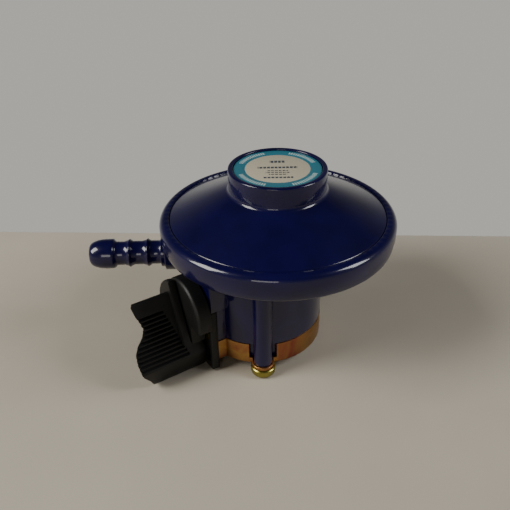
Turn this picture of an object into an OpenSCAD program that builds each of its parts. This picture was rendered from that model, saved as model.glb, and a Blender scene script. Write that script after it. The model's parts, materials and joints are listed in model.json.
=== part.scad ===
// Clip-on low-pressure gas regulator with a switch lever: a domed body, a snap coupling
// underneath, a hose nozzle at the side and a diaphragm valve inside.
// The origin is on the coupling's axis, level with the foot of the retaining ring.
// +Z is up, the switch lever is on the -Y side.

/* [Dish and cover] */
// Radius of the dish at its widest
dish_r = 40.5; // [40:0.1:41]
// Height of the dish's underside above the ring's foot
dish_z = 37.3; // [37:0.1:37.6]
// Height of the rolled rim's crest
rim_z = 46.6; // [46.4:0.1:46.8]
// How far the dish's axis lies behind the coupling's axis
dome_y = 7.2; // [7:0.1:7.4]
// Radius where the cover's cone meets the rolled rim
cover_r = 36.8; // [36.6:0.1:36.9]
// Radius of the round boss on top of the cover
boss_r = 16.5; // [16.2:0.1:16.8]
// Height of the boss's top
boss_z = 63; // [62.6:0.1:63.4]
// Wall of the cover
cover_wall = 1.8; // [1.6:0.1:2]

/* [Skirt and ring] */
// Outer radius of the skirt around the coupling
skirt_r = 21.6; // [21.5:0.1:21.6]
// Height of the retaining ring's wall
ring_h = 8.5; // [8:0.1:9]
// Thickness of the ring's sheet
ring_wall = 1.3; // [1.2:0.05:1.35]
// Radius of a screw column
column_r = 3.4; // [3.3:0.1:3.5]
// Radius of the circle on which the screw columns stand
column_circle = 21.7; // [21.6:0.1:21.8]
// Radius of a ring screw's head
screw_head_r = 4.3; // [4:0.1:4.4]
// Height of a ring screw's head
screw_head_h = 3.4; // [3:0.1:3.6]

/* [Coupling] */
// Radius of the socket that takes the cylinder valve
socket_r = 10.6; // [10.5:0.05:10.7]
// Depth of the socket
socket_depth = 11; // [10.8:0.1:11]
// Radius of a locking ball
ball_r = 2.38; // [2.3:0.01:2.4]
// Radius of the inlet plunger
plunger_r = 5; // [4.9:0.1:5]

/* [Switch] */
// Height of the switch's axis
switch_z = 20.2; // [20:0.1:20.4]
// How far the plunger moves over the quarter turn
cam_lift = 3; // [2.6:0.1:3]
// Radius of the knob's round hub
hub_r = 12; // [11.8:0.1:12]
// Half the width of the boss behind the knob
knob_boss_w = 8.1; // [8:0.1:8.2]

/* [Hose nozzle] */
// Direction of the nozzle, seen from above, from +X
nozzle_azimuth = 239.3; // [238:0.1:240]
// Height of the nozzle's axis
nozzle_z = 31.8; // [31.6:0.1:32]
// Distance from the dish's axis to the nozzle's tip
nozzle_tip = 66; // [65:0.5:67]
// Radius of the nozzle's plain barrel
nozzle_r = 4.2; // [4:0.1:4.3]

/* [Hidden] */
$fn = 96;

running = 0.05;                       // radial clearance of a running fit
gap = 0.3;                            // clearance between bodies that only pass each other
eps = 0.01;                           // overlap that keeps cuts and joins clean

blue = "#1f2a66";
black = "#141414";
gilt = "#b08a3c";
brass = "#b99a4a";
steel = "#a9abad";
zinc = "#c6a84e";
rubber = "#2a2a2a";
teal = "#2c6470";

ledge_z = dish_z + 6.1;               // seat of the diaphragm's rim
dish_floor_z = dish_z + 2.4;          // inside floor of the dish
ledge_r = 33.5;                       // inner edge of that seat
chamber_r = 32.5;                     // inside of the dish below the diaphragm
rim_in_r = 38.3;                      // inside radius of the dish's upright wall
lip_r = 37;                           // inner edge of the rolled lip
flange_top_z = rim_z - 0.8;           // top of the cover's flange, under the lip
cone_slope = 0.458;                   // rise of the cover's cone for each millimetre inwards
cone_foot_z = rim_z - 0.3;            // height of the cone's foot
cone_drop = cover_wall * sqrt(1 + cone_slope * cone_slope);
bore_r = 18.8;                        // inside of the skirt
spigot_foot_z = 1.4;                  // lower end of the skirt, inside the ring
spigot_r = skirt_r - ring_wall - running + 0.1; // end of the skirt that the ring slips over
core_r = 13.5;                        // round core inside the skirt, and the ball cage's outside
hollow_z = 27;                        // ceiling of the ring-shaped space around the core
core_foot_z = 12.5;                   // lower face of the core
column_angles = [328, 212, 90];
ear_r = column_r + 0.45;
ring_screw_r = 2;
socket_foot_z = 0;                    // mouth of the socket
cage_h = 18.4;
cage_neck_r = 10.2;                   // bore of the cage above the socket, around the body's spigot
seal_z = socket_foot_z + socket_depth;
ball_z = 6;                           // height of the locking balls
ball_angles = [30, 150, 270];
ball_out = socket_r + running + ball_r; // a released ball's distance from the axis
ball_travel = 1;
lock_slope = ball_travel / cam_lift;
lock_angle = atan(lock_slope);

cam_min = 3;                          // smallest support distance, also the shaft's radius
cam_rate = cam_lift / (PI / 2);       // follower travel in millimetres for each radian
cam_max = cam_min + cam_lift;
cam_nose_r = sqrt(cam_max * cam_max + cam_rate * cam_rate);
cam_nose_a = atan(cam_rate / cam_max);
cam_room_r = cam_nose_r + gap;
shaft_in_y = 7.5;                     // inner end of the cam shaft
shaft_out_y = -31;                    // outer end, inside the knob
inner_cam_w = 4.4;                    // width of the cam that works the plunger
sleeve_cam_y = [-17, -14.4];          // the cam that works the lock sleeve
nose_r = plunger_r - 0.7;             // the plunger's nose, which goes through the seal
nose_z = seal_z + 0.1;                // end of the nose with the switch off
shoulder_z = core_foot_z + cam_lift + 0.2; // stays above the seal with the switch on
plunger_top_z = 29.3;
plunger_bore_top_z = 30.2;
plunger_window_z = [switch_z - cam_min - running, switch_z + cam_max + running];
sleeve_top_z = switch_z - cam_min - running;
sleeve_foot_z = 4.6;
sleeve_foot_r = 17.3;
sleeve_step_z = 9;
boss_face_y = -23.3;                  // front of the knob boss
upper_boss_y = -26;                   // front of the wider block above the knob plate
upper_boss_z = 22.3;
upper_boss_w = 9.4;
plate_back_y = boss_face_y - 0.15;     // back of the knob plate, in front of the ring
plate_face_y = -26.2;                 // front of the knob plate
outer_bush_r = 6.75;
plate_screw_z = 11.6;
plate_screw_r = 0.85;
plate_head_r = 1.95;
hub_face_y = -33.6;                   // front of the knob's hub
hub_step_y = -31.8;                   // front of the hub's part beside the grip
shaft_flat = 2.2;                     // distance of the shaft's flats from its axis
grub_y = -29.9;
grub_r = 1.35;                        // grub screw that holds the knob

pocket_z = 36;                        // floor of the pocket under the diaphragm
pocket_half_w = 6.5;
jet_y = -4.4;
jet_r = 2.95;
jet_foot_z = 31.1;
jet_tip_z = 38.4;
jet_tip_r = 1.2;
pad_z = jet_tip_z + 0.65;             // the pad's face with the valve open
pad_r = 1.5;
pad_stub_r = 1.15;                    // stub that holds the pad in the lever
lever_pin_y = -1.4;
lever_pin_r = 1;
lever_z = 40.2;
lever_t = 1.2;
lever_w = 5.8;
disc_z = 42.2;                        // underside of the diaphragm's flat centre
disc_t = 0.7;
plate_z = disc_z + disc_t;            // underside of the diaphragm's plate
plate_r = 20;
plate_t = 0.8;
stem_r = 1.5;
adjuster_r = 12.8;
adjuster_z = 57;
label_r = 14.75;
label_t = 0.6;
label_seat_z = boss_z - 1.1;

nozzle_block_r = 6.4;
nozzle_block_end = 39.6;              // face of the block, measured from the dish's axis
nozzle_root = 33.2;                   // inner end of the nozzle
nozzle_root_r = 4.4;

module at_dome() { translate([0, dome_y, 0]) children(); }

// A cylinder that lies along Y from y0 to y1 at height z
module bar_y(r, y0, y1, z) {
    translate([0, y1, z]) rotate([90, 0, 0]) cylinder(r = r, h = y1 - y0);
}

// A cylinder that lies along X from x0 to x1
module bar_x(r, x0, x1, y, z) {
    translate([x0, y, z]) rotate([0, 90, 0]) cylinder(r = r, h = x1 - x0);
}

// A box given by its two ends along each axis
module block(x, y, z) {
    translate([x[0], y[0], z[0]]) cube([x[1] - x[0], y[1] - y[0], z[1] - z[0]]);
}

// A washer or tube standing on height z
module tube(r_out, r_in, z, h) {
    translate([0, 0, z]) difference() {
        cylinder(r = r_out, h = h);
        translate([0, 0, -eps]) cylinder(r = r_in, h = h + 2 * eps);
    }
}

// Points of a circular arc in the plane
function arc(cx, cy, r, a0, a1, n) =
    [for (i = [0 : n]) let (a = a0 + (a1 - a0) * i / n) [cx + r * cos(a), cy + r * sin(a)]];

// A round wire coiled around Z: rings of points joined into one closed skin
module coil(mean_r, wire_r, z0, z1, turns, steps = 20, sides = 8) {
    rings = turns * steps;
    rise = (z1 - z0 - 2 * wire_r) / rings;
    points = [for (i = [0 : rings]) let (a = 360 * i / steps)
        for (j = [0 : sides - 1]) let (b = 360 * j / sides, r = mean_r + wire_r * cos(b))
            [r * cos(a), r * sin(a), z0 + wire_r + rise * i + wire_r * sin(b)]];
    skin = [for (i = [0 : rings - 1]) for (j = [0 : sides - 1]) let (k = (j + 1) % sides)
        [i * sides + j, (i + 1) * sides + j, (i + 1) * sides + k, i * sides + k]];
    start = [for (j = [0 : sides - 1]) j];
    end = [for (j = [sides - 1 : -1 : 0]) rings * sides + j];
    polyhedron(points, concat(skin, [start], [end]));
}

// Cam outline: its support distance grows evenly over the quarter turn, and the opposite
// side falls by the same amount, so the cam always fills the plunger's window
function cam_dir(a) = [-sin(a), -cos(a)];
function cam_tan(a) = [-cos(a), sin(a)];
function cam_rad(a) = a * PI / 180;
cam_points = concat(
    [for (a = [0 : 6 : 90]) (cam_min + cam_rate * cam_rad(a)) * cam_dir(a) + cam_rate * cam_tan(a)],
    [for (i = [1 : 5]) let (a = 90 + cam_nose_a + (90 - 2 * cam_nose_a) * i / 6)
        cam_nose_r * cam_dir(a)],
    [for (a = [180 : 6 : 270])
        (cam_max - cam_rate * cam_rad(a - 180)) * cam_dir(a) - cam_rate * cam_tan(a)],
    [for (a = [282 : 12 : 348]) cam_min * cam_dir(a)],
    [cam_min * cam_dir(0)]);

module cam_disc(y0, y1) {
    translate([0, y1, switch_z]) rotate([90, 0, 0])
        linear_extrude(y1 - y0) polygon(cam_points);
}

module at_columns() {
    for (a = column_angles) rotate([0, 0, a]) translate([column_circle, 0, 0]) children();
}

module at_nozzle() {
    translate([0, dome_y, nozzle_z]) rotate([0, 0, nozzle_azimuth]) rotate([0, 90, 0]) children();
}

// The dish's section: underside, upright rim, rolled lip, ledge for the diaphragm, floor
dish_outline = let (foot_round = 1.5, bead_r = 2.4, lip_round = 0.5) concat(
    [[0, dish_z]],
    arc(dish_r - foot_round - 0.5, dish_z + foot_round, foot_round, 270, 340, 5),
    [[dish_r, dish_z + 5]],
    arc(dish_r - bead_r, rim_z - bead_r, bead_r, 20, 90, 6),
    arc(lip_r + lip_round, rim_z - lip_round, lip_round, 90, 180, 3),
    [[lip_r, flange_top_z + running], [rim_in_r, flange_top_z + running],
     [rim_in_r, ledge_z], [ledge_r, ledge_z], [chamber_r, dish_floor_z], [0, dish_floor_z]]);

// Outside of the casting, without its hollows
module casting_outside() {
    join = 1;                         // how far the lower masses reach into the dish
    deep_y = -16;                     // inner end of the blocks, inside the skirt
    foot_in = 1.4;                    // how far the boss's foot stands back inside the ring
    at_dome() rotate_extrude() polygon(dish_outline);
    // skirt with the spigot that the ring slips over
    translate([0, 0, spigot_foot_z]) cylinder(r = spigot_r, h = dish_z);
    translate([0, 0, ring_h]) cylinder(r = skirt_r, h = dish_z - ring_h + join);
    // knob boss, and its foot inside the ring
    block([-knob_boss_w, knob_boss_w], [boss_face_y, deep_y], [ring_h, dish_z + join]);
    block([foot_in - knob_boss_w, knob_boss_w - foot_in], [boss_face_y + foot_in, deep_y],
          [spigot_foot_z, ring_h + join]);
    block([-upper_boss_w, upper_boss_w], [upper_boss_y, deep_y], [upper_boss_z, dish_z + join]);
    at_columns() translate([0, 0, ring_wall + running])
        cylinder(r1 = column_r - 0.2, r2 = column_r + 0.1, h = dish_z);
    // block under the dish that holds the nozzle
    at_nozzle() {
        cylinder(r = nozzle_block_r, h = nozzle_block_end);
        translate([-nozzle_block_r - 0.1, -nozzle_block_r, 0])
            cube([nozzle_block_r + 0.1, 2 * nozzle_block_r, nozzle_block_end]);
    }
}

module body_casting() {
    pocket_y = [-10, 14];             // pocket for the lever under the diaphragm
    spigot_h = 6;                     // depth of the cage's seat around the spigot
    gas_way_r = 2.9;
    screw_hole_r = 2.05;
    bush_seat_end_y = -18;
    color(blue) difference() {
        casting_outside();
        // chamber under the diaphragm
        at_dome() translate([0, 0, dish_floor_z]) cylinder(r = chamber_r, h = 2);
        block([-pocket_half_w, pocket_half_w], pocket_y, [pocket_z, dish_z + 3]);
        // space around the core for the lock sleeve
        tube(bore_r, core_r + gap / 3, 0, hollow_z);
        // under the core: the cage's seat and the socket
        cylinder(r = core_r + gap, h = core_foot_z);
        tube(core_r + gap, cage_neck_r - running, core_foot_z - eps, spigot_h);
        // plunger bore, cam room and shaft passage
        translate([0, 0, 5]) cylinder(r = plunger_r + running, h = plunger_bore_top_z - 5);
        bar_y(cam_room_r, -40, inner_cam_w / 2 + 0.4, switch_z);
        bar_y(cam_min + running, 0, shaft_in_y + 0.5, switch_z);
        bar_y(outer_bush_r + running, -30, bush_seat_end_y, switch_z);
        // way to the jet, and from the chamber to the nozzle
        translate([0, jet_y, 28]) cylinder(r = 1.5, h = 10);
        translate([0, jet_y, jet_foot_z - 0.1]) cylinder(r = jet_r + running, h = 8);
        at_nozzle() translate([0, 0, 13]) cylinder(r = gas_way_r, h = 30);
        at_nozzle() translate([0, 0, nozzle_root - 0.2]) cylinder(r = nozzle_root_r + running, h = 8);
        translate([0, dome_y, 0]) rotate([0, 0, nozzle_azimuth]) translate([13, 0, nozzle_z])
            cylinder(r = gas_way_r, h = 10);
        at_columns() translate([0, 0, -1]) cylinder(r = screw_hole_r, h = 12.5);
        at_plate_screws() bar_y(0.9, -30, boss_face_y + 5, plate_screw_z);
    }
}

// The cover's section: flange under the lip, cone, boss and the recess for the label
function cone_z(r) = cone_foot_z + (cover_r - r) * cone_slope;
cover_outline = let (blend = 2.2, edge = 0.5, foot_r = ledge_r + 1.1) concat(
    [[ledge_r + 0.1, ledge_z + 1], [rim_in_r - 0.1, ledge_z + 1], [rim_in_r - 0.1, flange_top_z],
     [lip_r - 0.1, flange_top_z]],
    arc(cover_r - 0.5, cone_foot_z - 0.35, 0.6, 20, 65, 3),
    arc(boss_r + blend, cone_z(boss_r) + 1.4, blend, 245, 180, 6),
    arc(boss_r - edge, boss_z - edge, edge, 0, 90, 4),
    [[label_r + 0.1, boss_z], [label_r + 0.1, label_seat_z], [adjuster_r + running, label_seat_z],
     [adjuster_r + running, cone_z(adjuster_r) - cone_drop],
     [foot_r, cone_z(foot_r) - cone_drop], [ledge_r + 0.1, ledge_z + 1.4]]);

module top_cover() {
    breather_r = 0.8;
    color(blue) at_dome() difference() {
        rotate_extrude() polygon(cover_outline);
        // breather hole at the back of the boss
        bar_y(breather_r, 0, boss_r + 4, label_seat_z - 0.3);
    }
}

module label_disc() {
    color(teal) at_dome() translate([0, 0, label_seat_z]) cylinder(r = label_r, h = label_t);
}

module tamper_cap() {
    cap_hole_r = 5;
    color(black) at_dome() tube(adjuster_r, cap_hole_r, label_seat_z - 1.2, 1.15);
}

module adjuster_plug() {
    flange_h = 3.2;
    key_r = 3.5;                      // hexagon for the setting key
    color(brass) at_dome() difference() {
        union() {
            translate([0, 0, adjuster_z]) cylinder(r = adjuster_r, h = flange_h);
            translate([0, 0, adjuster_z - 2]) cylinder(r = 7.4, h = 3);
        }
        translate([0, 0, adjuster_z - 3]) cylinder(r = key_r, h = 7, $fn = 6);
    }
}

module main_spring() {
    mean_r = 9.2;
    wire_r = 0.7;
    color(steel) at_dome() coil(mean_r, wire_r, plate_z + plate_t + running, adjuster_z, 5);
}

module stem_nut() {
    nut_r = 3.6;
    color(zinc) at_dome() translate([0, 0, plate_z + plate_t]) difference() {
        cylinder(r = nut_r, h = 2.4, $fn = 6);
        translate([0, 0, -eps]) cylinder(r = stem_r, h = 3);
    }
}

module diaphragm_plate() {
    upstand = 1.8;                    // height of the plate's turned-up edge
    color(steel) at_dome() difference() {
        union() {
            tube(plate_r, stem_r, plate_z, plate_t);
            tube(plate_r, plate_r - plate_t, plate_z, upstand);
        }
        for (a = [0 : 60 : 300]) rotate([0, 0, a])
            translate([14.5, 0, disc_z]) cylinder(r = 1.8, h = 4);
    }
}

// Rubber disc with one rolled convolution and a thick clamped rim
roll_r = plate_r + 1;                 // where the convolution begins
function roll(t) = [roll_r + 12 * t, disc_z + 1.2 * t + 1.1 * sin(180 * t)];
diaphragm_outline = let (bead_t = 0.95) concat(
    [[stem_r, disc_z], [roll_r, disc_z]],
    [for (i = [1 : 9]) roll(i / 10)],
    [[ledge_r - 0.1, ledge_z + running], [rim_in_r - 0.2, ledge_z + running],
     [rim_in_r - 0.2, ledge_z + bead_t], [ledge_r - 0.1, ledge_z + bead_t]],
    [for (i = [9 : -1 : 1]) roll(i / 10) + [0, disc_t]],
    [[roll_r, plate_z], [stem_r, plate_z]]);

module diaphragm() {
    color(rubber) at_dome() rotate_extrude() polygon(diaphragm_outline);
}

module lower_washer() {
    washer_t = 0.7;
    color(steel) at_dome() tube(5, stem_r, disc_z - washer_t, washer_t);
}

// The stem's button lifts the lever from below
module diaphragm_stem() {
    button_r = 2.3;
    foot_z = 38.3;
    color(brass) at_dome() translate([0, 0, foot_z]) {
        cylinder(r = button_r, h = 0.9);
        cylinder(r = stem_r, h = 9.2);
    }
}

module valve_lever() {
    hub_round = 1.6;                  // radius of the lever's eye around its pin
    fork_w = 3.6;
    thick = [lever_z - lever_t / 2, lever_z + lever_t / 2];
    color(steel) difference() {
        union() {
            block([-lever_w / 2, lever_w / 2], [jet_y - 2.8, 5], thick);
            block([-fork_w, fork_w], [3.5, dome_y + 2.4], thick);
            bar_x(hub_round, -lever_w / 2, lever_w / 2, lever_pin_y, lever_z);
        }
        block([-stem_r - gap, stem_r + gap], [dome_y - 2, dome_y + 5], [lever_z - 2, lever_z + 2]);
        bar_x(lever_pin_r + running, -5, 5, lever_pin_y, lever_z);
        translate([0, jet_y, lever_z - 2]) cylinder(r = pad_stub_r + running, h = 4);
    }
}

module lever_bracket() {
    half_w = 4.3;
    cheek_t = half_w - lever_w / 2 - gap;
    color(steel) difference() {
        union() {
            block([-half_w, half_w], [jet_y - 4, 1], [pocket_z + running, pocket_z + 0.8]);
            for (x = [-half_w, half_w - cheek_t])
                block([x, x + cheek_t], [lever_pin_y - 2, lever_pin_y + 2],
                      [pocket_z + running, lever_z + 1.6]);
        }
        translate([0, jet_y, pocket_z - 1]) cylinder(r = jet_r + 0.15, h = 3);
        bar_x(lever_pin_r + running, -5, 5, lever_pin_y, lever_z);
    }
}

module lever_pin() {
    color(steel) bar_x(lever_pin_r, -4.8, 4.8, lever_pin_y, lever_z);
}

module valve_pad() {
    color(rubber) translate([0, jet_y, pad_z]) {
        cylinder(r = pad_r, h = lever_z - lever_t / 2 - pad_z);
        translate([0, 0, 0.2]) cylinder(r = pad_stub_r, h = 2.3);
    }
}

module valve_jet() {
    hexagon_z = pocket_z + 0.85;
    hexagon_h = 0.65;
    color(brass) translate([0, jet_y, 0]) difference() {
        union() {
            translate([0, 0, jet_foot_z]) cylinder(r = jet_r, h = 6);
            translate([0, 0, hexagon_z]) cylinder(r = 3.8, h = hexagon_h + 0.05, $fn = 6);
            translate([0, 0, hexagon_z + hexagon_h])
                cylinder(r1 = 2.4, r2 = jet_tip_r, h = jet_tip_z - hexagon_z - hexagon_h);
        }
        translate([0, 0, 30]) cylinder(r = 1.5, h = 6);
        translate([0, 0, 30]) cylinder(r = 0.8, h = 12);
    }
}

// One ridge of the nozzle, sloping towards the tip and square behind
module ridge(at, r) {
    slope = 2.2;
    translate([0, 0, at]) cylinder(r1 = r, r2 = nozzle_r, h = slope);
    translate([0, 0, at - 1]) cylinder(r1 = nozzle_r, r2 = r, h = 1 + eps);
}

module hose_nozzle() {
    collar_r = 5.2;
    collar_t = 1.4;
    ridge_r = nozzle_r + 0.75;
    bulb_r = nozzle_r + 1.05;
    bulb_end = 60.2;                  // where the bulb starts to round off
    face_r = nozzle_r - 1.3;          // flat ring around the bore at the tip
    gas_bore_r = 2.4;
    color(blue) at_nozzle() difference() {
        union() {
            translate([0, 0, nozzle_root]) cylinder(r = nozzle_root_r, h = 7);
            translate([0, 0, nozzle_block_end + running]) cylinder(r = collar_r, h = collar_t);
            translate([0, 0, 40]) cylinder(r = nozzle_r, h = nozzle_tip - 43);
            ridge(45.6, ridge_r);
            ridge(52, ridge_r);
            rotate_extrude() polygon(concat(
                [[0, 55], [nozzle_r, 56], [bulb_r - 0.1, 57.5], [bulb_r, 58.8], [bulb_r, bulb_end]],
                [for (a = [15 : 15 : 75])
                    [face_r + (bulb_r - face_r) * cos(a), bulb_end + (nozzle_tip - bulb_end) * sin(a)]],
                [[face_r, nozzle_tip], [0, nozzle_tip]]));
        }
        translate([0, 0, 30]) cylinder(r = gas_bore_r, h = 40);
    }
}

// Outline of the skirt with the knob boss, at a distance from the outside
module ring_outline(inset) {
    fold = 0.1;                       // the ring stands this far outside the casting
    circle(r = skirt_r + fold - inset);
    translate([-knob_boss_w + inset - fold, boss_face_y + inset - fold])
        square([2 * (knob_boss_w - inset + fold), 12]);
}

module retaining_ring() {
    mouth_r = 14.4;                   // opening for the cylinder valve
    notch_w = 9.6;                    // notch in the wall for a screw column
    notch_z = 2.6;
    slot_half_w = 4.2;
    color(gilt) difference() {
        union() {
            difference() {
                linear_extrude(ring_h - running) ring_outline(0);
                translate([0, 0, ring_wall]) linear_extrude(ring_h) ring_outline(ring_wall);
            }
            at_columns() cylinder(r = ear_r, h = ring_wall);
        }
        translate([0, 0, -1]) cylinder(r = mouth_r, h = 4);
        at_columns() {
            translate([-5, -notch_w / 2, notch_z]) cube([10, notch_w, ring_h]);
            translate([0, 0, ring_wall]) cylinder(r = column_r + gap, h = ring_h);
            translate([0, 0, -1]) cylinder(r = ring_screw_r + 0.15, h = 4);
        }
        // clearance for the stem of the knob plate
        block([-slot_half_w, slot_half_w], [-24, boss_face_y + ring_wall + 1], [1.6, ring_h + 1]);
    }
}

// Pan-head screw with a cross recess, its seat at z = 0 and its shank upwards
module pan_screw(head_r, head_h, shank_r, shank_l) {
    straight = 0.35 * head_h;         // upright part of the head's side
    round_r = 1.4;
    arm_w = 1.1;
    difference() {
        union() {
            rotate_extrude() polygon(concat(
                [[0, 0], [head_r, 0], [head_r, -straight]],
                [for (a = [20 : 20 : 80]) [head_r - round_r + round_r * cos(a),
                                          -straight - (head_h - straight) * sin(a)]],
                [[head_r - round_r - 0.1, -head_h], [0, -head_h]]));
            cylinder(r = shank_r, h = shank_l);
        }
        for (a = [0, 90]) rotate([0, 0, a]) translate([-arm_w / 2, -0.55 * head_r, -head_h - 1])
            cube([arm_w, 1.1 * head_r, 1 + 0.45 * head_h]);
    }
}

module ring_screws() {
    color(zinc) at_columns() pan_screw(screw_head_r, screw_head_h, ring_screw_r, 10.5);
}

module ball_cage() {
    color(steel) difference() {
        tube(core_r, cage_neck_r, socket_foot_z, cage_h);
        translate([0, 0, socket_foot_z - eps]) cylinder(r = socket_r, h = socket_depth + eps);
        for (a = ball_angles) rotate([0, 0, a]) translate([5, 0, ball_z])
            rotate([0, 90, 0]) cylinder(r = ball_r + running, h = 12);
        // the inner bush goes through the cage's wall
        bar_y(cam_room_r, -20, 0, switch_z);
    }
}

module locking_ball(a) {
    color(steel) rotate([0, 0, a]) translate([ball_out, 0, ball_z]) sphere(r = ball_r);
}

// The sleeve's bore narrows upwards, so it presses the balls inwards as it comes down
cone_at_ball = ball_out + (ball_r + 0.03) / cos(lock_angle);
function sleeve_bore(z) = cone_at_ball - (z - ball_z) * lock_slope;
sleeve_guide_z = ball_z + (cone_at_ball - core_r - running) / lock_slope;

module lock_sleeve() {
    color(steel) rotate_extrude() polygon([
        [sleeve_bore(sleeve_foot_z), sleeve_foot_z], [sleeve_foot_r, sleeve_foot_z],
        [sleeve_foot_r, sleeve_step_z], [bore_r - 0.1, sleeve_step_z],
        [bore_r - 0.1, sleeve_top_z], [core_r + running, sleeve_top_z],
        [core_r + running, sleeve_guide_z]]);
}

module sleeve_spring() {
    mean_r = 18;
    wire_r = 0.45;
    color(steel) coil(mean_r, wire_r, ring_wall + running, sleeve_step_z - running, 3, 24);
}

module inlet_seal() {
    color(rubber) tube(cage_neck_r - 0.1, nose_r + running, seal_z, core_foot_z - seal_z - running);
}

module inlet_plunger() {
    gas_bore_r = 2;
    side = inner_cam_w / 2 + 0.1;     // half the width of the cam's window
    slot_h = 1.8;
    color(brass) difference() {
        union() {
            translate([0, 0, nose_z]) cylinder(r = nose_r, h = shoulder_z - nose_z + eps);
            translate([0, 0, shoulder_z]) cylinder(r = plunger_r, h = plunger_top_z - shoulder_z);
        }
        translate([0, 0, nose_z - 1]) cylinder(r = gas_bore_r, h = 30);
        // window for the cam, and a slot for the shaft
        block([-9, 9], [-side, side], plunger_window_z);
        block([-cam_min - running, cam_min + running], [-9, 9], plunger_window_z);
        for (a = [0 : 90 : 270]) rotate([0, 0, a])
            translate([1, -0.5, nose_z - 1]) cube([5, 1, slot_h]);
    }
}

module inlet_filter() {
    filter_t = 1.2;
    color(brass) translate([0, 0, nose_z + 1.2]) difference() {
        cylinder(r = 2, h = filter_t);
        for (a = [0 : 60 : 300]) rotate([0, 0, a]) translate([1.2, 0, -1]) cylinder(r = 0.3, h = 4);
    }
}

module cam_shaft() {
    flat_w = 4;
    color(steel) difference() {
        union() {
            bar_y(cam_min, shaft_out_y, shaft_in_y, switch_z);
            cam_disc(-inner_cam_w / 2, inner_cam_w / 2);
            cam_disc(sleeve_cam_y[0], sleeve_cam_y[1]);
        }
        // flats that turn the knob
        for (s = [-1, 1])
            translate([s * (shaft_flat + flat_w / 2), -28.5, switch_z])
                cube([flat_w, 8, 10], center = true);
    }
}

module inner_bush() {
    groove_y = [-9.6, -7.5];          // groove for the shaft seal
    color(brass) difference() {
        intersection() {
            bar_y(cam_room_r - 0.04, -13.3, -inner_cam_w / 2 - 0.4, switch_z);
            cylinder(r = core_r - 0.1, h = 60);
        }
        bar_y(cam_min + running, -20, 0, switch_z);
        bar_y(cam_min + 1.5, groove_y[0], groove_y[1], switch_z);
        cylinder(r = plunger_r + running, h = 60);
    }
}

module shaft_seal() {
    wire_r = 0.7;
    color(rubber) translate([0, -8.55, switch_z]) rotate([90, 0, 0])
        rotate_extrude() translate([cam_min + wire_r + 0.08, 0]) circle(r = wire_r, $fn = 32);
}

module outer_bush() {
    color(brass) difference() {
        bar_y(outer_bush_r, boss_face_y, -bore_r - gap, switch_z);
        bar_y(cam_min + running, -30, -10, switch_z);
    }
}

module at_plate_screws() {
    for (x = [-5.6, 5.6]) translate([x, 0, 0]) children();
}

// Black plate behind the knob: a tall rectangle with a round collar, which hangs below the ring
module knob_plate() {
    across_y = [plate_face_y, plate_back_y];
    plate_half_w = 8.9;
    plate_foot_z = -2.9;
    collar_r = 8.6;
    stem_half_w = 3.9;
    window_x = [4.7, 7.4];            // windows that show the ring behind
    window_z = [0.4, 6.2];
    color(black) difference() {
        union() {
            block([-plate_half_w, plate_half_w], across_y, [plate_foot_z, upper_boss_z - gap]);
            bar_y(collar_r, plate_face_y - 0.6, plate_face_y + 1, switch_z);
            // stem that locks into the ring's slot
            block([-stem_half_w, stem_half_w], [boss_face_y - 1, boss_face_y + 1.2], [2, 7.4]);
        }
        bar_y(cam_min + 1, -40, -20, switch_z);
        bar_y(outer_bush_r + running, boss_face_y - 1.2, -20, switch_z);
        block([-12, 12], [upper_boss_y - running, -20], [upper_boss_z - running, 40]);
        block(window_x, [-30, -20], window_z);
        mirror([1, 0, 0]) block(window_x, [-30, -20], window_z);
        at_plate_screws() bar_y(plate_screw_r + 0.2, -30, -20, plate_screw_z);
        at_plate_screws() bar_y(plate_head_r + 0.1, -30, plate_face_y + 1.3, plate_screw_z);
    }
}

module plate_screws() {
    color(zinc) at_plate_screws() {
        bar_y(plate_screw_r, plate_face_y + 1, boss_face_y + 4.8, plate_screw_z);
        bar_y(plate_head_r, plate_face_y + 0.1, plate_face_y + 1.25, plate_screw_z);
    }
}

// Front part of the hub beside the grip, seen from the front
hub_front = [[-15, 33], [-3.6, 33], [8.3, 5], [-15, 5]];
// Section of the grip across its length: a rounded wedge, thicker below
grip_section = [[-4.4, 27.2], [-5.6, 25.6], [-6.7, 21.3], [-7.5, 16.6], [-8.3, 10], [-8.8, 3], [-8.6, -1.2],
                [-7.4, -2.5], [2.9, -2.9], [4.2, -2.2], [4.7, -0.6], [5.9, 5.1], [-3.4, 27]];
// Grip seen from the side: distance in front of the axis against height
grip_side = [[26.9, -2.9], [60, -2.9], [60, 27.4], [34.5, 27.4], [32.4, 20], [29.4, 12], [26.9, 7]];
// Outer end of the grip in the plane square to its slant away from the grooved side
grip_slant = [0, -21, -31];
grip_end = [[10, -14], [35.4, -14], [36.9, -11.9], [38, -11.7], [38.7, -9.7], [40.1, -7.7], [41, -5.2],
            [41.9, -2.3], [42.3, 1], [41.6, 3.8], [40.2, 6.2], [39.7, 9.2], [40.8, 11.7], [41.9, 13.7],
            [43.1, 16.8], [43, 18.4], [37, 28.4], [10, 28.4]];

// Grooves down the grip's sloping face, each a little shorter than the one below it
module grip_grooves() {
    grooves = 12;
    groove_w = 0.75;
    groove_d = 1.4;
    for (i = [0 : grooves - 1]) let (t = (i + 0.5) / grooves)
        translate([-1.9 + 8.1 * t, -60, 22.8 - 17.2 * t]) rotate([0, 22.5, 0])
            cube([groove_d, 60 - 38.2 + 5.4 * t, groove_w]);
}

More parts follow.
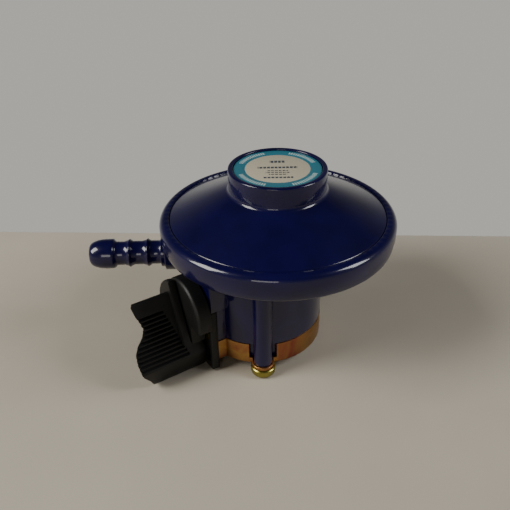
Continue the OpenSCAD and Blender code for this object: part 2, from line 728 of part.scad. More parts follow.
module knob_handle() {
    hub_back_y = plate_face_y - 0.9;
    recess_x = 5.5;
    recess_z = [4, 17.5];
    color(black) difference() {
        union() {
            bar_y(hub_r, hub_step_y, hub_back_y, switch_z);
            intersection() {
                bar_y(hub_r, hub_face_y, hub_step_y + eps, switch_z);
                rotate([90, 0, 0]) linear_extrude(60) polygon(hub_front);
            }
            intersection() {
                rotate([90, 0, 0]) linear_extrude(60) polygon(grip_section);
                rotate([90, 0, 90]) translate([0, 0, -20]) linear_extrude(40)
                    polygon([for (p = grip_side) [-p[0], p[1]]]);
                rotate(grip_slant) rotate([90, 0, 90]) translate([0, 0, -40]) linear_extrude(80)
                    polygon([for (p = grip_end) [-p[0], p[1]]]);
            }
        }
        grip_grooves();
        // bore for the shaft with two flats, and room for the bush
        intersection() {
            bar_y(cam_min + 0.04, shaft_out_y - 0.1, -20, switch_z);
            translate([0, -30, switch_z]) cube([2 * shaft_flat + 0.08, 30, 10], center = true);
        }
        bar_y(cam_min + 1.2, plate_face_y - 2.8, -20, switch_z);
        // hole for the grub screw, on the side away from the grooves, and a recess under the hub
        bar_x(grub_r + running, -20, 0, grub_y, switch_z);
        difference() {
            block([recess_x, 14], [hub_step_y - 0.1, -20], recess_z);
            bar_y(cam_min + 3, -40, -20, switch_z);
        }
    }
}

module knob_screw() {
    key_r = 0.75;
    color(zinc) difference() {
        bar_x(grub_r, -11, -shaft_flat - 0.03, grub_y, switch_z);
        translate([-12, grub_y, switch_z]) rotate([0, 90, 0]) cylinder(r = key_r, h = 2.5, $fn = 6);
    }
}

body_casting();
top_cover();
label_disc();
tamper_cap();
adjuster_plug();
main_spring();
stem_nut();
diaphragm_plate();
diaphragm();
lower_washer();
diaphragm_stem();
valve_lever();
lever_bracket();
lever_pin();
valve_pad();
valve_jet();
hose_nozzle();
retaining_ring();
ring_screws();
ball_cage();
locking_ball(ball_angles[0]);  // locking_ball_1
locking_ball(ball_angles[1]);  // locking_ball_2
locking_ball(ball_angles[2]);  // locking_ball_3
lock_sleeve();
sleeve_spring();
inlet_seal();
inlet_plunger();
inlet_filter();
cam_shaft();
inner_bush();
outer_bush();
shaft_seal();
knob_plate();
plate_screws();
knob_handle();
knob_screw();
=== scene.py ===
"""Visible pieces, finishes and studio for a clip-on gas regulator, built around its fixed frame."""

import json
import math

import bpy
from bpy.props import FloatProperty, FloatVectorProperty, IntProperty, PointerProperty
from bpy.types import Operator, Panel, PropertyGroup
from mathutils import Euler, Matrix, Vector


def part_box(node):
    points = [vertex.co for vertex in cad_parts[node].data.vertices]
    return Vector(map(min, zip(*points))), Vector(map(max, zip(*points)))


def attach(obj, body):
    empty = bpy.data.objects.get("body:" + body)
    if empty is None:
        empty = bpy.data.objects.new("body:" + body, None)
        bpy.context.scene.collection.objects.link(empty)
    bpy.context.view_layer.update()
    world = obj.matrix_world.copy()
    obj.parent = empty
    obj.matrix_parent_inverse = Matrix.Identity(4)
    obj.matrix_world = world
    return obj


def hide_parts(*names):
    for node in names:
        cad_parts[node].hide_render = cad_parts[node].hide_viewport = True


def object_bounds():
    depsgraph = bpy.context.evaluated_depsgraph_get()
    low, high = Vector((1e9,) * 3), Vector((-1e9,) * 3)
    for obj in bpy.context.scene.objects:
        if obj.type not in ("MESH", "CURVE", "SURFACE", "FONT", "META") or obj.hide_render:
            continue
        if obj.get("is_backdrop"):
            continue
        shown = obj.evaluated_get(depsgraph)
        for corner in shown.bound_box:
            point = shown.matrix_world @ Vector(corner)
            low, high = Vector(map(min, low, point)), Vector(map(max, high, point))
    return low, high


bl_info = {
    "name": "Clip-on gas regulator",
    "version": (1, 0, 0),
    "blender": (4, 5, 0),
    "location": "3D View > Sidebar > Regulator",
    "description": "Builds the visible pieces of a clip-on gas regulator around its frame",
    "category": "Object",
}

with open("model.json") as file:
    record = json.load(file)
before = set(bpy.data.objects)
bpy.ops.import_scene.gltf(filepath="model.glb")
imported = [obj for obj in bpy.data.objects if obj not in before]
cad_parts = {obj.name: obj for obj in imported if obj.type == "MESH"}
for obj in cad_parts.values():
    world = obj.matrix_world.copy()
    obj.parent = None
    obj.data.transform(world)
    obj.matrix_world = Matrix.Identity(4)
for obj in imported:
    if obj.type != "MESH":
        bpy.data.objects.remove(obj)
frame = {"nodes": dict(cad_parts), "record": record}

MM = 0.001
MERGE = 0.0005                                  # points nearer than this are one, in millimetres
NODES = frame["nodes"]

# Driving places, in millimetres, read from the frame where a node gives them
COVER_LOW, COVER_HIGH = (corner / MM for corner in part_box("top_cover"))
BODY_LOW, BODY_HIGH = (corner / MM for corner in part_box("body_casting"))
LABEL_LOW, LABEL_HIGH = (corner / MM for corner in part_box("label_disc"))
RING_LOW, RING_HIGH = (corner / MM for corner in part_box("retaining_ring"))
DOME_Y = (COVER_LOW.y + COVER_HIGH.y) / 2       # the dish's axis, behind the coupling's
DISH_R = BODY_HIGH.x
BOSS_Z = COVER_HIGH.z
RIM_Z = BODY_HIGH.z                             # crest of the rolled rim
DISH_Z = RIM_Z - 9.3                            # underside of the dish
INTO_DISH_Z = DISH_Z + 0.5                      # where the pieces below it end, inside its floor
SPIGOT_Z = 1.4                                  # lower end of the skirt, inside the ring
LABEL_R = LABEL_HIGH.x
LABEL_BORDER_R = 10.8                           # inner edge of the label's coloured border
RING_H = RING_HIGH.z
SWITCH_Z = sum(corner.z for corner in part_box("outer_bush")) / 2 / MM
NOZZLE_AZIMUTH = 239.3
NOZZLE_Z = 31.8
COLUMN_ANGLES = (328, 212, 90)
COLUMN_CIRCLE = 21.7


def linear(text):
    """The linear colour of an sRGB hex value such as #1f2a66."""
    channels = [int(text[i:i + 2], 16) / 255 for i in (1, 3, 5)]
    return [c / 12.92 if c <= 0.04045 else ((c + 0.055) / 1.055) ** 2.4 for c in channels] + [1]


# Modelling steps


def deselect():
    """Leaves edit mode and selects nothing."""
    if bpy.context.object and bpy.context.object.mode != "OBJECT":
        bpy.ops.object.mode_set(mode="OBJECT")
    bpy.ops.object.select_all(action="DESELECT")


def activate(obj):
    """Selects one object alone and makes it active."""
    deselect()
    obj.select_set(True)
    bpy.context.view_layer.objects.active = obj


def chain(name, points):
    """A line of edges through points in millimetres, left open in edit mode with all selected."""
    deselect()
    points = [Vector(p) * MM for p in points]
    bpy.ops.mesh.primitive_plane_add(size=MM)
    obj = bpy.context.object
    obj.name = obj.data.name = name
    bpy.ops.object.mode_set(mode="EDIT")
    bpy.ops.mesh.select_all(action="SELECT")
    bpy.ops.mesh.merge(type="CENTER")
    bpy.ops.transform.translate(value=points[0])
    for start, end in zip(points, points[1:]):
        bpy.ops.mesh.extrude_region_move(TRANSFORM_OT_translate={"value": end - start})
    bpy.ops.mesh.select_all(action="SELECT")
    return obj


def close_up():
    """In edit mode: merges doubles, turns the faces outwards and leaves edit mode."""
    bpy.ops.mesh.select_all(action="SELECT")
    bpy.ops.mesh.remove_doubles(threshold=MERGE * MM)
    bpy.ops.mesh.normals_make_consistent(inside=False)
    bpy.ops.object.mode_set(mode="OBJECT")


def lathe(name, outline, steps, closed=False):
    """A turned piece: (radius, height) points spun around Z. A closed outline makes a tube."""
    points = [(r, 0, z) for r, z in outline]
    obj = chain(name, points + points[:1] if closed else points)
    bpy.ops.mesh.spin(steps=steps, angle=math.tau, center=(0, 0, 0), axis=(0, 0, 1))
    close_up()
    return obj


def prism(name, outline, along):
    """A straight-sided piece: an outline of 3-D points filled and pushed along a vector."""
    obj = chain(name, outline + outline[:1])
    bpy.ops.mesh.remove_doubles(threshold=MERGE * MM)
    bpy.ops.mesh.select_all(action="SELECT")
    bpy.ops.mesh.edge_face_add()
    bpy.ops.mesh.extrude_region_move(TRANSFORM_OT_translate={"value": Vector(along) * MM})
    close_up()
    return obj


def box(name, low, high):
    """A block between two corners."""
    deselect()
    low, high = Vector(low), Vector(high)
    bpy.ops.mesh.primitive_cube_add(size=1, location=(low + high) / 2 * MM, scale=(high - low) * MM)
    obj = bpy.context.object
    obj.name = obj.data.name = name
    settle(obj)
    return obj


def rod(name, radius, start, end, vertices=48):
    """A plain round bar between two points, used as a cutter or to be shaped further."""
    deselect()
    start, end = Vector(start) * MM, Vector(end) * MM
    turn = (end - start).to_track_quat("Z", "Y").to_euler()
    bpy.ops.mesh.primitive_cylinder_add(vertices=vertices, radius=radius * MM,
                                        depth=(end - start).length,
                                        location=(start + end) / 2, rotation=turn)
    obj = bpy.context.object
    obj.name = obj.data.name = name
    settle(obj)
    return obj


def settle(obj):
    """Moves the object's place into its mesh."""
    activate(obj)
    bpy.ops.object.transform_apply(location=True, rotation=True, scale=True)


def place(obj, shift=(0, 0, 0), turn=(0, 0, 0)):
    """Turns a piece about the origin by degrees about X, Y and Z, then shifts it by millimetres."""
    obj.rotation_euler = [math.radians(a) for a in turn]
    obj.location = Vector(shift) * MM
    settle(obj)
    return obj


def apply_modifier(obj, kind, **settings):
    """Adds one modifier with its settings and applies it."""
    activate(obj)
    modifier = obj.modifiers.new(kind.title(), kind)
    for key, value in settings.items():
        setattr(modifier, key, value)
    bpy.ops.object.modifier_apply(modifier=modifier.name)


def combine(obj, others, operation):
    """Joins, cuts or crosses obj with other solids, which are used up."""
    for other in others:
        apply_modifier(obj, "BOOLEAN", operation=operation, object=other, solver="EXACT")
        bpy.data.objects.remove(other)
    return obj


def soften(obj, width, segments=3, angle=30):
    """Rounds every edge sharper than the angle."""
    apply_modifier(obj, "BEVEL", width=width * MM, segments=segments, limit_method="ANGLE",
                   angle_limit=math.radians(angle), use_clamp_overlap=True)
    return obj


def bevel_where(obj, test, width, segments=4):
    """In edit mode, rounds the edges whose two ends both pass a test on their place in mm."""
    activate(obj)
    bpy.ops.object.mode_set(mode="EDIT")
    bpy.ops.mesh.select_all(action="DESELECT")
    bpy.ops.mesh.select_mode(type="EDGE")
    bpy.ops.object.mode_set(mode="OBJECT")
    places = [v.co / MM for v in obj.data.vertices]
    for edge in obj.data.edges:
        edge.select = all(test(places[i]) for i in edge.vertices)
    bpy.ops.object.mode_set(mode="EDIT")
    bpy.ops.mesh.bevel(offset=width * MM, segments=segments, affect="EDGES")
    bpy.ops.mesh.select_mode(type="VERT")
    close_up()
    return obj


def smooth(obj, angle=32):
    """Smooth shading that keeps edges sharper than the angle."""
    activate(obj)
    bpy.ops.object.shade_smooth_by_angle(angle=math.radians(angle))
    return obj


def arc(x, y, radius, start, end, count):
    """Points on a circle's arc, from one angle in degrees to another."""
    turns = [math.radians(start + (end - start) * i / count) for i in range(count + 1)]
    return [(x + radius * math.cos(t), y + radius * math.sin(t)) for t in turns]


def at_columns(make):
    """One piece from make() on each screw column."""
    pieces = []
    for angle in COLUMN_ANGLES:
        turn = math.radians(angle)
        shift = (COLUMN_CIRCLE * math.cos(turn), COLUMN_CIRCLE * math.sin(turn), 0)
        pieces.append(place(make(), shift, (0, 0, angle)))
    return pieces


def join(pieces, name):
    """Several separate solids as one piece."""
    activate(pieces[0])
    for piece in pieces:
        piece.select_set(True)
    bpy.ops.object.join()
    pieces[0].name = pieces[0].data.name = name
    return pieces[0]


def fit(obj, body, slot, material, *replaced):
    """Gives a finished piece its finish, its body and the nodes it stands for."""
    obj.data.materials.clear()
    obj.data.materials.append(material)
    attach(obj, body)
    if replaced:
        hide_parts(*replaced)
    deselect()


# Finishes


def node(tree, kind, settings=None, links=None):
    """Adds one shader node, sets its properties and inputs, and links its inputs to outputs."""
    new = tree.nodes.new(kind)
    for key, value in (settings or {}).items():
        if isinstance(key, str) and hasattr(new, key):
            setattr(new, key, value)
        else:
            new.inputs[key].default_value = value
    for key, output in (links or {}).items():
        tree.links.new(output, new.inputs[key])
    return new


def start_material(name):
    """An empty node material: its tree, its surface shader and the place on the piece."""
    material = bpy.data.materials.get(name) or bpy.data.materials.new(name)
    material.use_nodes = True
    tree = material.node_tree
    tree.nodes.clear()
    shader = node(tree, "ShaderNodeBsdfPrincipled")
    node(tree, "ShaderNodeOutputMaterial", links={"Surface": shader.outputs["BSDF"]})
    place_on = node(tree, "ShaderNodeTexCoord").outputs["Object"]
    return material, tree, shader, place_on


def grain(tree, where, size_mm, detail=3, roughness=0.5, distortion=0.0):
    """A noise pattern whose lumps are about size_mm across."""
    return node(tree, "ShaderNodeTexNoise",
                {"Scale": 1 / (size_mm * MM), "Detail": detail, "Roughness": roughness,
                 "Distortion": distortion}, {"Vector": where}).outputs["Fac"]


def ramp(tree, factor, stops):
    """A colour ramp with (position, colour) stops."""
    new = node(tree, "ShaderNodeValToRGB", links={"Fac": factor})
    while len(new.color_ramp.elements) < len(stops):
        new.color_ramp.elements.new(0.5)
    for element, (position, colour) in zip(new.color_ramp.elements, stops):
        element.position = position
        element.color = colour
    return new.outputs["Color"]


def blue_enamel():
    """Stoved enamel on a zinc die casting: deep glossy blue with a faint orange peel."""
    colours = bpy.context.scene.regulator_colours
    material, tree, shader, where = start_material("stoved_enamel")
    cloud = grain(tree, where, 9, 2)
    body = ramp(tree, cloud, [(0.3, [*colours.enamel_deep, 1]), (0.7, [*colours.enamel, 1])])
    tree.links.new(body, shader.inputs["Base Color"])
    shader.inputs["Roughness"].default_value = 0.28
    shader.inputs["Specular IOR Level"].default_value = 0.12
    shader.inputs["Coat Weight"].default_value = 0.7
    shader.inputs["Coat Roughness"].default_value = 0.05
    peel = grain(tree, where, 1.1, 2)       # orange peel, about a millimetre from lump to lump
    bump = node(tree, "ShaderNodeBump", {"Strength": 0.10, "Distance": 0.05 * MM}, {"Height": peel})
    tree.links.new(bump.outputs["Normal"], shader.inputs["Normal"])
    tree.links.new(bump.outputs["Normal"], shader.inputs["Coat Normal"])
    return material


def black_nylon():
    """Moulded glass-filled nylon: satin black with a fine spark-eroded grain."""
    colours = bpy.context.scene.regulator_colours
    material, tree, shader, where = start_material("moulded_nylon")
    fine = grain(tree, where, 0.35, 2)      # the mould's grain, coarsened so that it shows
    tint = ramp(tree, grain(tree, where, 6, 3),
                [(0.35, [*colours.nylon, 1]), (0.75, [*colours.nylon_worn, 1])])
    tree.links.new(tint, shader.inputs["Base Color"])
    rough = node(tree, "ShaderNodeMapRange", {"To Min": 0.40, "To Max": 0.58}, {"Value": fine})
    tree.links.new(rough.outputs["Result"], shader.inputs["Roughness"])
    shader.inputs["Specular IOR Level"].default_value = 0.35
    bump = node(tree, "ShaderNodeBump", {"Strength": 0.22, "Distance": 0.04 * MM}, {"Height": fine})
    tree.links.new(bump.outputs["Normal"], shader.inputs["Normal"])
    return material


def yellow_chromate(name, dark, bright, rough):
    """Zinc-plated steel with a yellow chromate dip: gold to pink patches that shift in colour."""
    material, tree, shader, where = start_material(name)
    patch = grain(tree, where, 14, 4, 0.55, 0.6)
    colour = ramp(tree, patch, [(0.30, dark), (0.52, bright), (0.74, dark)])
    tree.links.new(colour, shader.inputs["Base Color"])
    shader.inputs["Metallic"].default_value = 1
    fine = grain(tree, where, 0.5, 3)
    spread = node(tree, "ShaderNodeMapRange", {"To Min": rough - 0.08, "To Max": rough + 0.12},
                  {"Value": fine})
    tree.links.new(spread.outputs["Result"], shader.inputs["Roughness"])
    bump = node(tree, "ShaderNodeBump", {"Strength": 0.12, "Distance": 0.02 * MM}, {"Height": fine})
    tree.links.new(bump.outputs["Normal"], shader.inputs["Normal"])
    return material


def turned_metal(name, colour, rough):
    """Bar turned on a lathe: bright metal with fine rings around the coupling's axis."""
    material, tree, shader, where = start_material(name)
    stretch = node(tree, "ShaderNodeMapping", {"Scale": (0.15, 0.15, 6)}, {"Vector": where})
    rings = grain(tree, stretch.outputs["Vector"], 1.2, 3)
    tint = ramp(tree, rings, [(0.3, [c * 0.8 for c in colour[:3]] + [1]), (0.7, colour)])
    tree.links.new(tint, shader.inputs["Base Color"])
    shader.inputs["Metallic"].default_value = 1
    spread = node(tree, "ShaderNodeMapRange", {"To Min": rough - 0.07, "To Max": rough + 0.1},
                  {"Value": rings})
    tree.links.new(spread.outputs["Result"], shader.inputs["Roughness"])
    bump = node(tree, "ShaderNodeBump", {"Strength": 0.08, "Distance": 0.02 * MM}, {"Height": rings})
    tree.links.new(bump.outputs["Normal"], shader.inputs["Normal"])
    return material


def nitrile_rubber():
    """Moulded nitrile rubber: dull black with a dusty bloom."""
    material, tree, shader, where = start_material("nitrile_rubber")
    bloom = ramp(tree, grain(tree, where, 3, 4), [(0.3, linear("#141414")), (0.8, linear("#262524"))])
    tree.links.new(bloom, shader.inputs["Base Color"])
    shader.inputs["Roughness"].default_value = 0.7
    bump = node(tree, "ShaderNodeBump", {"Strength": 0.2, "Distance": 0.05 * MM},
                {"Height": grain(tree, where, 0.6, 2)})
    tree.links.new(bump.outputs["Normal"], shader.inputs["Normal"])
    return material


def plain_math(tree, operation, a, b=None, c=None):
    """One Math node on values or outputs."""
    new = node(tree, "ShaderNodeMath", {"operation": operation})
    for socket, value in zip(new.inputs, (a, b, c)):
        if value is None:
            continue
        if isinstance(value, (int, float)):
            socket.default_value = value
        else:
            tree.links.new(value, socket)
    return new.outputs["Value"]


def printed_label():
    """Printed plastic label: a teal border with pale dashes around an off-white centre with bars."""
    print_turn = 57                     # the label was stuck on turned by this many degrees
    border_dashes, border_groups, dash_circle = 96, 4, 12.8
    bar_breaks = 0.8                    # gaps in a bar for each millimetre
    colours = bpy.context.scene.regulator_colours
    material, tree, shader, where = start_material("printed_label")
    turned = node(tree, "ShaderNodeMapping",
                  {"vector_type": "TEXTURE", "Location": (0, DOME_Y * MM, 0),
                   "Rotation": (0, 0, math.radians(print_turn)), "Scale": (MM, MM, MM)}, {"Vector": where})
    axes = node(tree, "ShaderNodeSeparateXYZ", links={"Vector": turned.outputs["Vector"]})
    across, upwards = axes.outputs["X"], axes.outputs["Y"]
    radius = plain_math(tree, "SQRT", plain_math(tree, "ADD", plain_math(tree, "MULTIPLY", across, across),
                                                 plain_math(tree, "MULTIPLY", upwards, upwards)))
    angle = plain_math(tree, "ARCTAN2", upwards, across)

    def near(value, centre, half):
        """One where value lies within half of centre, else nought."""
        return plain_math(tree, "COMPARE", value, centre, half)

    def both(a, b):
        """One where both are one."""
        return plain_math(tree, "MULTIPLY", a, b)

    def either(a, b):
        """One where at least one is one."""
        return plain_math(tree, "MAXIMUM", a, b)

    def fraction(value, rate):
        """The part after the point of value times rate."""
        return plain_math(tree, "FRACT", plain_math(tree, "MULTIPLY", value, rate))

    border = plain_math(tree, "GREATER_THAN", radius, LABEL_BORDER_R)
    # dashes around the border, in groups with gaps between them
    dash = fraction(angle, border_dashes / math.tau)
    group = fraction(angle, border_groups / math.tau)
    dashes = both(both(near(dash, 0.5, 0.3), near(group, 0.5, 0.30)), near(radius, dash_circle, 0.75))
    bars = None
    for height, half_length, half_width in ((5.2, 2.6, 0.9), (0.6, 6.6, 0.7), (-1.9, 3.4, 0.32),
                                            (-3.3, 4.0, 0.32), (-4.7, 3.0, 0.32), (-7.0, 4.8, 0.55)):
        bar = both(near(across, 0, half_length), near(upwards, height, half_width))
        bars = bar if bars is None else either(bars, bar)
    broken = plain_math(tree, "GREATER_THAN", fraction(across, bar_breaks), 0.22)
    bars = both(bars, broken)
    centre = node(tree, "ShaderNodeMix", {"data_type": "RGBA"}, {"Factor": bars})
    centre.inputs["A"].default_value = [*colours.label_centre, 1]
    centre.inputs["B"].default_value = linear("#3b4148")
    edge = node(tree, "ShaderNodeMix", {"data_type": "RGBA"}, {"Factor": dashes})
    edge.inputs["A"].default_value = [*colours.label_border, 1]
    edge.inputs["B"].default_value = linear("#9fb3b0")
    printed = node(tree, "ShaderNodeMix", {"data_type": "RGBA"}, {"Factor": border})
    for mix, socket, source in ((printed, "A", centre), (printed, "B", edge)):
        target = next(s for s in mix.inputs if s.name == socket and s.type == "RGBA")
        tree.links.new(next(s for s in source.outputs if s.type == "RGBA"), target)
    tree.links.new(next(s for s in printed.outputs if s.type == "RGBA"), shader.inputs["Base Color"])
    shader.inputs["Roughness"].default_value = 0.38
    bump = node(tree, "ShaderNodeBump", {"Strength": 0.05, "Distance": 0.02 * MM},
                {"Height": grain(tree, where, 1.5, 2)})
    tree.links.new(bump.outputs["Normal"], shader.inputs["Normal"])
    return material


def matt_paint(name, dark, light):
    """Plain matt paint with a faint cloudiness, for the floor."""
    material, tree, shader, where = start_material(name)
    tint = ramp(tree, grain(tree, where, 60, 3), [(0.2, linear(dark)), (0.8, linear(light))])
    tree.links.new(tint, shader.inputs["Base Color"])
    shader.inputs["Roughness"].default_value = 0.85
    return material


class RegulatorSizes(PropertyGroup):
    """Sizes of the visible detail, in millimetres unless a unit is given."""

    turned_steps: IntProperty(
        name="Steps per turn", description="How many steps a turned piece has around its axis",
        default=160, min=48, max=288)
    casting_edge: FloatProperty(
        name="Casting edge", description="Rounding of the casting's outside edges, in mm",
        default=0.5, min=0.1, max=0.9)
    crimp_depth: FloatProperty(
        name="Crimp depth", description="Depth of the tool marks on the rolled rim, in mm",
        default=0.06, min=0.0, max=0.25)
    sheet_edge: FloatProperty(
        name="Sheet edge", description="Rounding of the pressed ring's lower edge, in mm",
        default=0.9, min=0.3, max=1.1)
    rib_depth: FloatProperty(
        name="Groove depth", description="Depth of the grooves in the grip, in mm",
        default=0.7, min=0.3, max=1.0)
    rib_width: FloatProperty(
        name="Groove width", description="Width of the grooves in the grip, in mm",
        default=0.75, min=0.4, max=1.0)
    moulded_edge: FloatProperty(
        name="Moulded edge", description="Rounding of the plastic's edges, in mm",
        default=0.4, min=0.1, max=0.6)


class RegulatorColours(PropertyGroup):
    """Colours of the finishes."""

    enamel: FloatVectorProperty(
        name="Enamel", description="Colour of the stoved enamel", subtype="COLOR",
        default=linear("#0d0838")[:3], min=0, max=1)
    enamel_deep: FloatVectorProperty(
        name="Enamel, deep", description="Colour of the enamel where it lies thick", subtype="COLOR",
        default=linear("#0a072e")[:3], min=0, max=1)
    nylon: FloatVectorProperty(
        name="Nylon", description="Colour of the black mouldings", subtype="COLOR",
        default=linear("#060606")[:3], min=0, max=1)
    nylon_worn: FloatVectorProperty(
        name="Nylon, worn", description="Colour of the mouldings where they are rubbed", subtype="COLOR",
        default=linear("#0c0c0b")[:3], min=0, max=1)
    label_border: FloatVectorProperty(
        name="Label border", description="Colour of the label's border", subtype="COLOR",
        default=linear("#286473")[:3], min=0, max=1)
    label_centre: FloatVectorProperty(
        name="Label centre", description="Colour of the label's centre", subtype="COLOR",
        default=linear("#a8a18d")[:3], min=0, max=1)


class RegulatorOperator(Operator):
    """Shared settings of the building steps."""

    bl_options = {"REGISTER", "UNDO"}

    @property
    def sizes(self):
        return bpy.context.scene.regulator_sizes


class REGULATOR_OT_body(RegulatorOperator):
    """Casts the body: the dish with its rolled rim, the skirt, the columns and the two bosses"""

    bl_idname = "regulator.make_body"
    bl_label = "Body casting"

    def dish(self):
        """The dish: underside, upright side, rolled bead with the crimping tool's marks, and floor."""
        flat_r, foot_round = 30, 1.5
        bead_round, crest_r = 2.4, 38
        lip_r, lip_round, lip_thick = 37, 0.45, 0.75
        wall_r, ledge_r, ledge_z = 38.3, 33.5, RIM_Z - 3.2
        chamber_r, floor_z = 32.5, DISH_Z + 2.4
        outline = [(0, DISH_Z), (flat_r, DISH_Z)]
        outline += arc(DISH_R - 2, DISH_Z + foot_round, foot_round, 270, 342, 6)
        outline += [(DISH_R - 0.2, DISH_Z + 3), (DISH_R, DISH_Z + 5)]
        outline += arc(DISH_R - bead_round, RIM_Z - bead_round, bead_round, 10, 82, 9)
        outline += [(crest_r, RIM_Z)] + arc(lip_r + lip_round, RIM_Z - lip_round, lip_round, 90, 180, 3)
        outline += [(lip_r, RIM_Z - lip_thick), (wall_r, RIM_Z - lip_thick), (wall_r, RIM_Z - 3),
                    (ledge_r, ledge_z), (chamber_r, floor_z), (0, floor_z)]
        dish = lathe("dish", outline, self.sizes.turned_steps * 2)
        # the crimping tool presses every other step of the lip's top a little lower
        marked_from, marked_to, marked_depth = lip_r - 0.1, 38.6, 0.6
        for vertex in dish.data.vertices:
            x, y, z = vertex.co / MM
            radius, turn = math.hypot(x, y), math.atan2(y, x)
            pressed = math.sin(turn * self.sizes.turned_steps / 2) > 0
            if pressed and marked_from < radius < marked_to and z > RIM_Z - marked_depth:
                vertex.co.z -= self.sizes.crimp_depth * MM
        return place(dish, (0, DOME_Y, 0))

    def skirt(self):
        """The skirt: its spigot for the ring, its wall and the fillet under the dish."""
        edge = self.sizes.casting_edge
        bore_r, spigot_r, skirt_r, fillet = 18.8, 20.3, 21.6, 1.2
        outline = [(bore_r, SPIGOT_Z), (spigot_r, SPIGOT_Z), (spigot_r, RING_H)]
        outline += arc(skirt_r - edge, RING_H + edge, edge, 270, 360, 4)
        outline += [(skirt_r, DISH_Z - fillet)]
        outline += arc(skirt_r + fillet, DISH_Z - fillet, fillet, 180, 100, 4)
        outline += [(skirt_r + fillet, INTO_DISH_Z), (bore_r, INTO_DISH_Z)]
        return lathe("body_shell", outline, self.sizes.turned_steps, closed=True)

    def column(self):
        """A screw column: a tapering bar that flares out under the dish."""
        foot_r, low_r, high_r, flare = 2.9, 3.2, 3.45, 1.4
        outline = [(0, 1.35), (foot_r, 1.35), (low_r, 1.6), (high_r, DISH_Z - flare)]
        outline += arc(high_r + flare, DISH_Z - flare, flare, 180, 100, 4)
        outline += [(4.6, INTO_DISH_Z), (0, INTO_DISH_Z)]
        return lathe("column", outline, self.sizes.turned_steps // 4)

    def knob_bosses(self):
        """The boss behind the knob, its thinner foot inside the ring and the wider block above."""
        edge = self.sizes.casting_edge
        half, face, inside = 8.1, -23.3, -17
        sheet = 1.4                     # what the ring takes off the foot
        block_half, block_face, block_foot = 9.4, -26, 22.3
        boss = box("boss", (-half, face, RING_H), (half, inside, DISH_Z + 0.4))
        foot = box("foot", (sheet - half, face + sheet, SPIGOT_Z), (half - sheet, inside, RING_H + 1))
        block = box("block", (-block_half, block_face, block_foot), (block_half, inside, DISH_Z + 0.6))
        return [soften(boss, edge), foot, soften(block, edge)]

    def nozzle_block(self):
        """The block that the hose nozzle comes out of: round below and square above."""
        radius, top, start, length = 6.4, 6, 20, 19.6
        outline = arc(0, 0, radius, 180, 360, 20) + [(radius, top), (-radius, top)]
        block = prism("nozzle_block", [(start, x, z) for x, z in outline], (length, 0, 0))
        soften(block, self.sizes.casting_edge)
        return place(block, (0, DOME_Y, NOZZLE_Z), (0, 0, NOZZLE_AZIMUTH))

    def execute(self, context):
        passage_r, passage_end = 3.05, -18.9
        body = self.skirt()
        combine(body, [*self.knob_bosses(), self.nozzle_block(), *at_columns(self.column), self.dish()],
                "UNION")
        passage = rod("passage", passage_r, (0, -40, SWITCH_Z), (0, passage_end, SWITCH_Z))
        combine(body, [passage], "DIFFERENCE")
        fit(smooth(body, 35), "housing", "blue_enamel", blue_enamel(), "body_casting")
        return {"FINISHED"}


class REGULATOR_OT_cover(RegulatorOperator):
    """Turns the top cover: the cone, the round boss and the recess for the label"""

    bl_idname = "regulator.make_cover"
    bl_label = "Top cover"

    def execute(self, context):
        flange_r, flange_top, seat_r = 38.2, RIM_Z - 0.8, 33.6
        foot_r, foot_z, slope = 36.8, RIM_Z - 0.3, 0.458
        boss_r, boss_round, blend, wall_r = 16.5, 0.5, 1.6, 12.85
        blend_z = foot_z + (foot_r - boss_r) * slope + 0.9
        label_gap, label_round = 0.1, 0.25
        inside_top, inside_foot = (wall_r, 55.2), (34.4, 45.6)
        outline = [(seat_r, COVER_LOW.z), (flange_r, COVER_LOW.z), (flange_r, flange_top),
                   (foot_r + 0.1, flange_top)]
        outline += arc(foot_r - 0.5, foot_z - 0.35, 0.6, 20, 65, 4)
        outline += arc(boss_r + blend, blend_z, blend, 245, 180, 7)
        outline += [(boss_r, BOSS_Z - 3)]
        outline += arc(boss_r - boss_round, BOSS_Z - boss_round, boss_round, 0, 90, 5)
        outline += arc(LABEL_R + label_gap + label_round, BOSS_Z - label_round, label_round, 90, 180, 3)
        outline += [(LABEL_R + label_gap, LABEL_LOW.z), (wall_r, LABEL_LOW.z), inside_top, inside_foot]
        cover = place(lathe("cone_cover", outline, self.sizes.turned_steps * 2, closed=True), (0, DOME_Y, 0))
        breather_r, breather_z = 0.8, 60.4
        breather = rod("breather", breather_r, (0, DOME_Y + 10, breather_z),
                       (0, DOME_Y + 20, breather_z), 24)
        combine(cover, [breather], "DIFFERENCE")
        fit(smooth(cover), "housing", "blue_enamel", blue_enamel(), "top_cover")
        return {"FINISHED"}


class REGULATOR_OT_label(RegulatorOperator):
    """Punches the label disc and prints it"""

    bl_idname = "regulator.make_label"
    bl_label = "Label disc"

    def execute(self, context):
        thick, edge_round, groove = 0.6, 0.2, 0.1
        foot = LABEL_LOW.z
        outline = [(0, foot + 0.02), (LABEL_R - 0.05, foot + 0.02)]
        outline += arc(LABEL_R - 0.05 - edge_round, foot + thick - edge_round, edge_round, 0, 90, 4)
        # a fine groove is pressed where the border meets the centre
        outline += [(LABEL_BORDER_R + groove, foot + thick), (LABEL_BORDER_R, foot + thick - 0.04),
                    (LABEL_BORDER_R - groove, foot + thick), (0, foot + thick)]
        label = place(lathe("label", outline, self.sizes.turned_steps), (0, DOME_Y, 0))
        fit(smooth(label), "housing", "printed_label", printed_label(), "label_disc")
        return {"FINISHED"}


